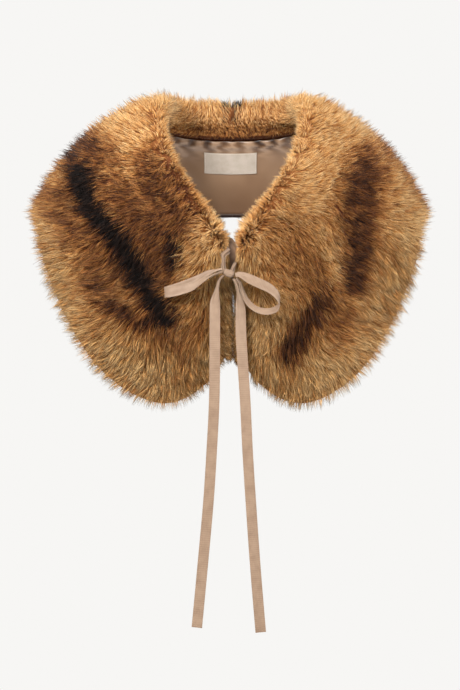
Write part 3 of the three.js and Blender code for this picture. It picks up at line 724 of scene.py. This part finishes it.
def paint(mesh, **values):
    """Writes numbers to a mesh's points, for its material to read."""
    for name, numbers in values.items():
        attribute = mesh.attributes.new(name, "FLOAT", "POINT")
        attribute.data.foreach_set("value", np.asarray(numbers, np.float32))


def strand_shape(heights):
    """One strand: a three-sided cone cut at its heights, as points and triangles."""
    bm = bmesh.new()
    bmesh.ops.create_cone(bm, cap_ends=True, segments=3, radius1=1.0, radius2=0.0, depth=1.0)
    bmesh.ops.translate(bm, verts=bm.verts, vec=(0, 0, 0.5))
    for height in heights[1:-1]:
        everything = bm.verts[:] + bm.edges[:] + bm.faces[:]
        bmesh.ops.bisect_plane(bm, geom=everything, plane_co=(0, 0, height), plane_no=(0, 0, 1))
    bmesh.ops.remove_doubles(bm, verts=bm.verts, dist=1e-4)
    bmesh.ops.triangulate(bm, faces=bm.faces)
    bmesh.ops.recalc_face_normals(bm, faces=bm.faces)
    points = np.array([vertex.co for vertex in bm.verts])
    triangles = np.array([[vertex.index for vertex in face.verts] for face in bm.faces])
    bm.free()
    return points, triangles


def strand_roots(layer, span, rng):
    """Roots spread evenly over the skin between two places along the band, and more of them round
    the front edge, with the angle by which each of those has turned towards the other front."""
    tries = layer["strands"] * 4
    along = rng.uniform(*span, tries)
    facing, width = facing_at(along), width_at(along)
    down = mix(-facing + 1.5, width, rng.uniform(0, 1, tries))
    across = np.clip(np.abs(down) / width, 0, 1)
    step = 1e-3
    stretch = np.linalg.norm(cloth(along + step, across) - cloth(along - step, across), axis=1)
    area = stretch * (facing + width)
    fans_out = mix(1.6, 3.2, smooth(along, 0.62, 0.79))  # the pile does, round the neck edge and hem
    area *= 1 + fans_out * np.exp(-((down + 2) / 9) ** 2)
    area *= 1 + 1.8 * np.exp(-((down - width) / 8) ** 2) * (1 - smooth(along, 0.2, 0.4))
    kept = np.flatnonzero(rng.uniform(0, 1, tries) < area / area.max())[: layer["strands"]]
    edge = np.ones(layer["edge"])
    edge_down = mix(-6.0, width_at(edge) + 6.0, rng.uniform(0, 1, len(edge)))
    closing = np.concatenate([np.zeros(len(kept)), rng.uniform(0.05, 1.4, len(edge))])
    return np.concatenate([along[kept], edge]), np.concatenate([down[kept], edge_down]), closing


def strand_line(along, down, closing, sway, length, top, wrap, heights):
    """The points of each strand from its root in the underfur to its tip."""
    lines = []
    for share in heights:
        rise = mix(ROOTED, top, share)
        point, run = in_pile(along, down + length * share, rise, root=down, wrap=wrap, closing=closing,
                             drawn=mix(0.5, 1.0, share))
        point = point + run * column(sway * length * share)
        point[:, 2] -= 2.0 * share**2
        lines.append(point)
    return np.stack(lines, 1)


def grow(name, side, sign, layer, span, seed, material):
    """One piece of hair: many strands joined in one mesh, copied from one strand's shape."""
    rng = np.random.default_rng(seed)
    along, down, closing = strand_roots(layer, span, rng)
    count = len(along)
    chance = rng.uniform(layer["tipped"], 1, count)
    heights = layer["heights"]

    def length_at(along, down, share):
        forward = np.abs(skin(along, down)[1][:, 1])
        nape = 1 - smooth(along, 0.3, 0.6)
        short = mix(0.8 + 0.5 * nape, 1.0, smooth(down, -12, 4))
        room = width_at(along) + reach("below", along) * (0.6 + 0.42 * share) - down
        laid = mix(0.55, 1.0, smooth(along, 0.35, 0.65))
        laid = laid * mix(UPRIGHT, 1.0, smooth(forward, 0.35, 0.8))
        length = np.minimum(layer["reach"] * (0.65 + 0.6 * share) * short * laid, np.maximum(room, 3.0))
        over_edge = np.exp(-(((down + 2) / 7) ** 2)) * smooth(along, 0.4, 0.6)
        return mix(length, np.clip(1 - down, 0, 9), over_edge)

    flow = 0.55 * swell(along * 7, down / 75, 0.7 + 0.4 * sign)
    wobble_u = along * 520 / CLUMP + 0.45 * swell(along * 40, down / 13, 1.1)
    wobble_v = down / CLUMP + 0.45 * swell(along * 40, down / 13, 2.3)
    cell_u, cell_v = np.floor(wobble_u + 0.5), np.floor(wobble_v)
    clump_along = np.clip((cell_u + 0.3 * scatter(cell_u, cell_v)) * CLUMP / 520, 0, 1)
    clump_down = (cell_v + 0.5 + 0.3 * scatter(cell_v, cell_u)) * CLUMP
    clump_down = np.clip(clump_down, -facing_at(clump_along) + 2, width_at(clump_along))
    clump_sway = flow + 0.45 * scatter(cell_u + 7, cell_v + 3)

    at_edge = np.exp(-(((down + 1) / 12) ** 2))
    fringe = mix(mix(0.14, 0.3, smooth(along, 0.4, 0.6)), NECK_FRINGE[side], smooth(along, 0.62, 0.79))
    top = layer["top"] + 0.2 * rng.uniform(0, 1, count) + 0.05 * scatter(cell_u, cell_v + 11)
    top = top + fringe * at_edge
    wrap = rng.uniform(0.05, 0.6, count)
    own_flow = flow + rng.normal(0, 0.25, count)
    own = strand_line(along, down, closing, own_flow, length_at(along, down, chance), top,
                      wrap, heights)
    clump = strand_line(clump_along, clump_down, closing, clump_sway,
                        length_at(clump_along, clump_down, np.full(count, 0.6)), top, wrap, heights)
    lean = rng.uniform(*layer["lean"], count) * (closing == 0) * mix(0.4, 1.0, smooth(down, -10, 6))
    lines = mix(own, clump, lean[:, None, None] * (np.array(heights)[None, :, None] ** 1.3))
    ease = rng.uniform(0.0, MINGLES, count)[:, None]
    lines = held_apart(lines, np.repeat(along[:, None], len(heights), 1), ease)
    lines = on_side(lines, sign)

    shape, triangles = strand_shape(heights)
    level = np.abs(shape[:, 2:3] - np.array(heights)[None, :]).argmin(1)
    around = unit(shape[:, :2])
    taper = 1 - np.array(heights)[level] ** 1.7
    ahead = unit(np.gradient(lines, axis=1))
    upward = np.array((0.31, -0.52, 0.79))
    beside = unit(np.cross(ahead, upward))
    over = np.cross(ahead, beside)
    radius = layer["radius"] * rng.uniform(0.7, 1.3, count)
    girth = radius[:, None, None] * taper[None, :, None]
    points = lines[:, level] + girth * (
        beside[:, level] * around[None, :, 0:1] + over[:, level] * around[None, :, 1:2]
    )
    mesh = bpy.data.meshes.new(name)
    faces = (triangles[None] + (np.arange(count) * len(shape))[:, None, None]).reshape(-1, 3)
    mesh.vertices.add(count * len(shape))
    mesh.vertices.foreach_set("co", (points.reshape(-1, 3) * MM).astype(np.float32).ravel())
    mesh.loops.add(faces.size)
    mesh.loops.foreach_set("vertex_index", faces.astype(np.int32).ravel())
    mesh.polygons.add(len(faces))
    mesh.polygons.foreach_set("loop_start", np.arange(0, faces.size, 3, dtype=np.int32))
    mesh.update(calc_edges=True)
    middle = (lines[:, 0] + lines[:, -1]) / 2
    blurred = middle + rng.normal(0, FEATHER, middle.shape)
    dark = darkness(blurred, along, down, side) + 0.12 * scatter(cell_u + 3, cell_v + 5)
    nape = (middle[:, 0] > NAPE_TIPS["from"]) & (middle[:, 0] < NAPE_TIPS["to"]) & (down > -14) & (down < 8)
    dark = np.where(nape & (along < 0.05) & (chance > 0.35), 0.85, dark)
    per_strand = len(shape)
    paint(mesh, rise=np.tile(np.array(heights)[level], count), dark=np.repeat(dark, per_strand),
          chance=np.repeat(chance, per_strand))
    return finish_piece(mesh, name, material)


# The lining and its label

CREASES = (  # soft folds in the lining: from and to in signed place along and down, in mm
    {"from": (-0.16, 20.0), "to": (-0.05, 62.0), "wide": 6.0, "deep": 1.5},
    {"from": (0.17, 16.0), "to": (0.08, 54.0), "wide": 7.0, "deep": -1.3},
    {"from": (0.2, 30.0), "to": (0.13, 80.0), "wide": 8.0, "deep": 1.6},
    {"from": (-0.22, 24.0), "to": (-0.17, 86.0), "wide": 9.0, "deep": -1.4},
    {"from": (-0.34, 18.0), "to": (-0.3, 90.0), "wide": 10.0, "deep": 1.8},
    {"from": (0.36, 14.0), "to": (0.3, 96.0), "wide": 9.0, "deep": 1.6},
    {"from": (0.5, 22.0), "to": (0.46, 120.0), "wide": 11.0, "deep": -1.5},
    {"from": (-0.52, 26.0), "to": (-0.47, 110.0), "wide": 10.0, "deep": -1.6},
    {"from": (-0.68, 30.0), "to": (-0.62, 130.0), "wide": 12.0, "deep": 1.4},
    {"from": (0.7, 34.0), "to": (0.63, 140.0), "wide": 11.0, "deep": 1.5},
)
BAND_LONG = 420.0  # along the lining's middle, to measure creases by
LINING_GRID = (330, 44)
HEM_DROP = 4.0  # the lining's hem hangs this far below the cloth's at the back


def puckered(signed, below):
    """How far the lining stands into the hollow: the gathers at the neck seam and the soft folds.
    Also the painted shade of the gathers: below 0 in their troughs and above 0 on their crests.
    """
    ring = np.abs(signed) * RINGS + 0.5 * swell(signed * RINGS / 3.2, below / 8, 4.4) * smooth(below, 0, 7)
    crest = 0.9 + 0.25 * scatter(np.round(ring / 2) * np.sign(signed), 5.0)
    wave = (0.5 + 0.5 * np.cos(math.pi * ring)) ** 1.4
    longer = 13 + 8 * scatter(np.round(ring / 2) * np.sign(signed), 9.0)
    fading = np.exp(-np.maximum(below - 9, 0) / longer)
    fading = fading * (1 - smooth(below, 11, 16.5) * (1 - smooth(np.abs(signed) * BAND_LONG, 34, 46)))
    gather = wave * crest * np.interp(below, (0, 1, 5, 12), (0, 0.4, 1, 0.8)) * fading
    height = GATHER["depth"] * gather * (1 - smooth(np.abs(signed), GATHER["fades_from"], GATHER["fades_to"]))
    spot = np.stack([signed * BAND_LONG, below], -1)
    for crease in CREASES:
        start = np.array((crease["from"][0] * BAND_LONG, crease["from"][1]))
        end = np.array((crease["to"][0] * BAND_LONG, crease["to"][1]))
        share = np.clip(((spot - start) @ (end - start)) / ((end - start) @ (end - start)), 0, 1)
        off = np.linalg.norm(spot - start - share[:, None] * (end - start), axis=1)
        raised = crease["deep"] * np.exp(-((off / crease["wide"]) ** 2))
        height = height + raised * np.sin(math.pi * mix(0.12, 0.88, share))
    # Painted shade of the gathers: dark in the troughs and pale on the crests, fading below the seam.
    depth = (1.3 + 0.6 * scatter(np.floor(ring / 2), 7.0)) * np.exp(-((below / 16) ** 2))
    return np.maximum(height, 0) - 0.25 * np.minimum(height, 0), (wave - 0.5) * depth


def lining_place(signed, share, inward=0.0, flat=False):
    """A point of the lining, from its signed place along the band and its share from seam to hem."""
    along = np.abs(signed)
    width = width_at(along)
    seam = facing_at(along) / width
    lower = HEM_DROP * (1 - smooth(along, 0.2, 0.4)) / width
    across = mix(seam + 1.0 / width, 1.0 + lower, share)
    below = (across - seam) * width
    stands = 0 if flat else puckered(signed, below)[0]
    point = off_cloth(along, across, 0, -SEAM_GAP - LINING_THICK / 2 - inward - stands)
    left, right = on_side(point, 1), on_side(point, -1)
    return np.where(column(signed) >= 0, left, right)


def tongue_place(step, share):
    """The left front's lining, running on behind the parting above the tie. Its lower part stays
    back behind the front edge."""
    last = lining_place(np.full_like(step, LINING_END), share)
    rows = np.vstack([[0.0, 0.0, 0.0], np.array(TONGUE)])
    to, rise, behind = (np.interp(step, np.arange(len(rows)), rows[:, k]) for k in range(3))
    to = np.where(step < 1, mix(last[:, 0], TONGUE[0][0], step), to)
    reaching = 1 - smooth(share, 0.08, 0.8)
    last[:, 0] = mix(last[:, 0] - TONGUE_STEP * step, to, reaching)
    last[:, 1] += behind
    last[:, 2] += rise * reaching**2
    return last


def lining(material):
    tongue_from = 0.965  # of the grid's length, to where the tongue begins
    laid_out = []

    def place(u, v):
        laid_out[:] = u, v
        signed = mix(-LINING_END, LINING_END, np.clip(u / tongue_from, 0, 1))
        step = np.clip((u - tongue_from) / (1 - tongue_from), 0, 1) * len(TONGUE)
        return np.where(column(u) <= tongue_from, lining_place(signed, v), tongue_place(step, v))

    def painted_shade_at(u, v):
        signed = mix(-LINING_END, LINING_END, np.clip(u / tongue_from, 0, 1))
        width = width_at(np.abs(signed))
        below = v * (width - facing_at(np.abs(signed)))
        # Painted shade in the gathers' troughs, and a paler colour on their crests.
        _, fold_shade = puckered(signed, below)
        # A painted shadow along the hem line.
        hem = 1 - 0.5 * smooth(v, 0.965, 0.985)
        # Painted shade that darkens the lining towards its hem, deep in the hollow.
        return np.clip((0.84 + 0.78 * fold_shade) * (1 - 0.2 * smooth(v, 0.4, 0.9)) * hem, 0.2, 1.0)

    bm = grid_mesh(*LINING_GRID, place, (0.86, 0.17))
    bmesh.ops.recalc_face_normals(bm, faces=bm.faces)
    piece = finish_piece(bm, "satin_lining", material, ["lining"])
    # The lining's painted shade, for its material to read.
    paint(piece.data, shade=painted_shade_at(*laid_out))
    return thickened(piece, LINING_THICK)


def on_lining(x, below):
    """A place on the lining's inner face near the centre back: to the side, and below the seam."""
    signed = np.linspace(-0.2, 0.2, 81)
    found = []
    for wanted_x, wanted_below in zip(x, below):
        width = width_at(np.abs(signed)) - facing_at(np.abs(signed))
        line = lining_place(signed, wanted_below / width, inward=LINING_THICK / 2, flat=True)
        found.append([np.interp(wanted_x, line[:, 0], line[:, k]) for k in range(3)])
    return np.array(found)


def label_point(u, v, lift):
    x = mix(LABEL["left"], LABEL["right"], u)
    point = on_lining(x, LABEL["below_seam"] + LABEL["high"] * v)
    return point + unit(np.array(LABEL_FACES)) * column(lift)


def label(material):
    """The woven label, bare, with a faint curl at its corners."""
    def place(u, v):
        curl = 0.5 * (np.abs(2 * u - 1) ** 8) * (np.abs(2 * v - 1) ** 4)
        return label_point(u, v, LABEL["gap"] + LABEL["thick"] / 2 + curl)

    bm = grid_mesh(34, 14, place, (0.071, 0.0285))
    bmesh.ops.recalc_face_normals(bm, faces=bm.faces)
    piece = thickened(finish_piece(bm, "woven_label", material, ["label"]), LABEL["thick"])
    edge = piece.modifiers.new("soft edge", "BEVEL")
    edge.width = 0.2 * MM
    edge.segments = 2
    return piece


def stitches(material):
    """The thread that holds the label: short stitches along its two ends and its upper edge."""
    bm = bmesh.new()
    spots = [(end, (k + 0.5) / 11, 0.0, 1.0) for end in (0.02, 0.98) for k in range(11)]
    spots += [((k + 0.5) / 27, 0.045, 1.0, 0.0) for k in range(27)]
    for u, v, run_u, run_v in spots:
        half_u, half_v = 0.32 / 27 * run_u, 0.32 / 11 * run_v
        ends = label_point(np.array([u - half_u, u + half_u]), np.array([v - half_v, v + half_v]),
                           LABEL["gap"] + LABEL["thick"] + 0.12)
        start, end = (Vector(point * MM) for point in ends)
        made = bmesh.ops.create_cone(bm, cap_ends=True, segments=6, radius1=0.16 * MM, radius2=0.16 * MM,
                                     depth=(end - start).length)
        turn = (end - start).to_track_quat("Z", "Y").to_matrix().to_4x4()
        turn.translation = (start + end) / 2
        bmesh.ops.transform(bm, matrix=turn, verts=made["verts"])
    return finish_piece(bm, "label_stitches", material)


# The ribbon

def even_curve(rows, shares):
    """Points of a centripetal spline through the rows, as the ribbon's solids have it."""
    rows = np.array(rows, float)
    rows = np.vstack([2 * rows[0] - rows[1], rows, 2 * rows[-1] - rows[-2]])
    place = np.clip(shares, 0, 1) * (len(rows) - 3)
    k = np.minimum(place.astype(int), len(rows) - 4)
    t = column(place - k)
    a, b, c, d = (rows[k + step] for step in range(4))
    spans = ((a, b), (b, c), (c, d))
    before, between, after = (np.sqrt(np.linalg.norm(q - p, axis=1, keepdims=True)) for p, q in spans)
    between = np.where(between < 1e-4, 1.0, between)
    before = np.where(before < 1e-4, between, before)
    after = np.where(after < 1e-4, between, after)
    leave = ((b - a) / before - (c - a) / (before + between) + (c - b) / between) * between
    arrive = ((c - b) / between - (d - b) / (between + after) + (d - c) / after) * between
    return b + leave * t + (3 * (c - b) - 2 * leave - arrive) * t**2 + (2 * (b - c) + leave + arrive) * t**3


def ribbon_length(route):
    line = even_curve([row["at"] for row in route], np.linspace(0, 1, 200))
    return np.linalg.norm(np.diff(line, axis=0), axis=1).sum()


def ribbon(name, route, segments, material, curl=0.35, ripple=0.0):
    """A length of ribbon along its route: a shallow trough across it, and a slow ripple along it."""
    length = ribbon_length(route)

    def place(u, v):
        at = even_curve([row["at"] for row in route], v)
        wide = even_curve([row["wide"] for row in route], v) * (RIBBON["wide"] / 2)
        step = 1e-3
        stations = [row["at"] for row in route]
        ahead = even_curve(stations, v + step) - even_curve(stations, v - step)
        face = unit(np.cross(unit(ahead), unit(wide)))
        across = 2 * u - 1
        drawn_in = np.clip(np.linalg.norm(wide, axis=1) / (RIBBON["wide"] / 2), 0.45, 1.0)
        pleat = np.sqrt(2 * (drawn_in**-2 - 1)) * RIBBON["wide"] * drawn_in / (2 * math.pi * PLEATS)
        rippled = ripple * np.sin(v * length / 17.0 + 1.3 * across) * smooth(v, 0.08, 0.3)
        lift = curl * (across**2 - 0.4) + rippled
        lift = lift + pleat * np.cos(math.pi * PLEATS * across + 0.5)
        return at + wide * column(across) + face * column(lift)

    bm = grid_mesh(14, segments, place, (RIBBON["wide"] * MM, length * MM))
    bmesh.ops.recalc_face_normals(bm, faces=bm.faces)
    piece = thickened(finish_piece(bm, name + "_ribbon", material, [name]), RIBBON["thick"])
    edge = piece.modifiers.new("soft selvedge", "BEVEL")
    edge.width = 0.15 * MM
    edge.segments = 2
    return piece


def knot(material):
    """The ribbon wrapped once round the others, drawn in at both ends, with its soft folds."""
    turn = math.radians(KNOT["tilt"])
    at = np.array(KNOT["at"])

    def place(u, v):
        angle = 2 * math.pi * u
        end = 2 * v - 1
        full = np.sqrt(np.clip(1 - np.abs(end) ** 5, 0, 1)) * mix(1.0, 0.8, np.abs(end) ** 2)
        folds = 1 + 0.05 * np.cos(5 * angle + 2.2 * end) * (1 - end**4) + 0.025 * np.cos(11 * angle - 3 * end)
        x = KNOT["long"] / 2 * end
        y = KNOT["deep"] / 2 * full * folds * np.sin(angle)
        z = KNOT["high"] / 2 * full * folds * np.cos(angle)
        turned_x = x * math.cos(turn) + z * math.sin(turn)
        turned_z = z * math.cos(turn) - x * math.sin(turn)
        return np.stack([turned_x, y, turned_z], -1) + at

    bm = grid_mesh(48, 28, place, (0.03, RIBBON["wide"] * MM))
    bmesh.ops.remove_doubles(bm, verts=bm.verts, dist=1e-5)
    bmesh.ops.recalc_face_normals(bm, faces=bm.faces)
    return finish_piece(bm, "knot_wrap", material, ["knot"])


# The stage

AROUND = (0.14, 0.5)  # the light from all round, from its dark to its bright side, as a share of the ground's
BRIGHTER = (-0.5, -0.35, 0.79)  # the way to its bright side


def look_along(obj, at, towards):
    obj.location = [value * MM for value in at]
    obj.rotation_euler = (Vector(towards) - Vector(at)).to_track_quat("-Z", "Y").to_euler()
    bpy.context.scene.collection.objects.link(obj)


def stage():
    camera = bpy.data.cameras.new("camera")
    camera.lens, camera.sensor_width = CAMERA["lens"], CAMERA["sensor"]
    eye = bpy.data.objects.new("camera", camera)
    look_along(eye, (CAMERA["x"], CAMERA["y"], CAMERA["z"]), (CAMERA["x"], 0, CAMERA["z"]))
    bpy.context.scene.camera = eye
    bm = bmesh.new()
    bmesh.ops.create_circle(bm, cap_ends=True, segments=96, radius=1.1)
    bmesh.ops.translate(bm, verts=bm.verts, vec=(0, 0, -1.1))
    mesh = bpy.data.meshes.new("floor")
    bm.to_mesh(mesh)
    bm.free()
    mesh.materials.append(plain_material("pale_floor", "F1F0EE", 0.8))
    floor = bpy.data.objects.new("floor", mesh)
    bpy.context.scene.collection.objects.link(floor)
    for name, at, size, power in (("key", (-800, -1750, 950), 0.8, 78), ("fill", (1300, -1300, 300), 1.6, 33),
                                  ("back", (300, 1500, 900), 1.4, 20)):
        light = bpy.data.lights.new(name, "AREA")
        light.size, light.energy = size, power
        look_along(bpy.data.objects.new(name, light), at, (0, -40, -180))
    world = bpy.data.worlds.new("studio")
    world.use_nodes = True
    tree = world.node_tree
    ray = node(tree, "TexCoord").outputs["Generated"]
    towards = node(tree, "VectorMath", {0: ray, 1: BRIGHTER}, operation="DOT_PRODUCT").outputs["Value"]
    graded = {"Value": towards, "From Min": -1.0, "To Min": AROUND[0], "To Max": AROUND[1]}
    softened = node(tree, "MapRange", graded)
    around, ground = (
        node(tree, "Background", {"Color": srgb("F7F6F4"), "Strength": strength})
        for strength in (softened.outputs[0], 1.0)
    )
    seen = node(tree, "LightPath").outputs["Is Camera Ray"]
    both = node(tree, "MixShader", {0: seen, 1: around.outputs[0], 2: ground.outputs[0]})
    tree.links.new(both.outputs[0], tree.nodes["World Output"].inputs["Surface"])
    bpy.context.scene.world = world
    bpy.context.scene.view_settings.view_transform = "Standard"


stage()
pile, dense = pile_material(), underfur_material()
satin = satin_material()
label_cloth = weave_material("woven_label_cloth", "BCB0A3", "A49787", 0.9, 0.7, 0.75, 0.25)
# Grosgrain is ribbed across its width. The ribs are drawn at 1.3 mm, coarse enough to show.
grosgrain = weave_material("grosgrain_ribbon", "907863", "79614E", 1.3, 1.1, 0.6, 0.2)
thread = plain_material("polyester_thread", "E2D6C8", 0.6)

for side, sign in SIDES:
    body = underfur(side, sign, dense)
    hair = [
        grow(f"coat_front_{side}", side, sign, COAT_FRONT, (FRONT_FROM, 1.0), 11 + sign, pile),
        grow(f"coat_back_{side}", side, sign, COAT_BACK, (0.0, FRONT_FROM), 21 + sign, pile),
        grow(f"guard_hair_{side}", side, sign, GUARD, (0.0, 1.0), 31 + sign, pile),
    ]

inside = lining(satin)
tag = label(label_cloth)
stitches(thread)
for name, route, segments, held, ripple in (
    ("tie_right", TIE_RIGHT, 36, "folded", 0.0),
    ("tie_left", TIE_LEFT, 28, "folded", 0.0),
    ("loop_right", LOOP_RIGHT, 110, "folded", 0.0),
    ("loop_left", LOOP_LEFT, 110, "folded", 0.0),
    ("tail_right", TAIL_RIGHT, 150, "hung", 0.25),
    ("tail_left", TAIL_LEFT, 150, "hung", 0.25),
):
    ribbon(name, route, segments, grosgrain, ripple=ripple)
knot(grosgrain)

bpy.context.view_layer.update()
